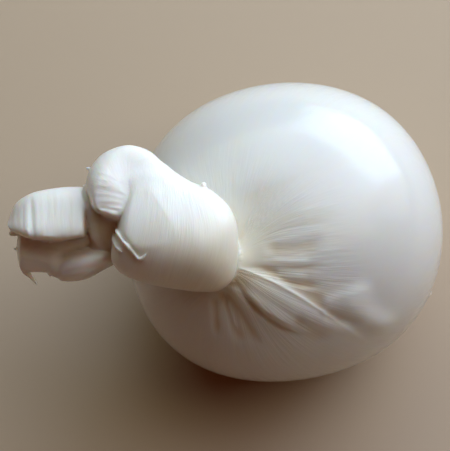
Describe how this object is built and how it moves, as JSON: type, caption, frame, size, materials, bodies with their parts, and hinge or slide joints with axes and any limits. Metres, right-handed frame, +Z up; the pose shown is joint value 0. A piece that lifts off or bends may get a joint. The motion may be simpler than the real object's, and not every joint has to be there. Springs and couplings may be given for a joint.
{
  "type": "burrata",
  "caption": "Round ball of soft fresh cheese whose stretched skin gathers into pleats, folds over into a knot and ends in a short torn tail.",
  "frame": {"origin": "centre of the small flat spot on which the ball rests", "axes": "+Z up from the table, -X from the ball towards the knot and its tail, -Y the side that the camera looks from"},
  "size_m": [0.124, 0.0904, 0.0834],
  "materials": {
    "curd_skin": "moist, soft gloss"
  },
  "bodies": {
    "root": {"burrata": "curd_skin"}
  },
  "joints": []
}
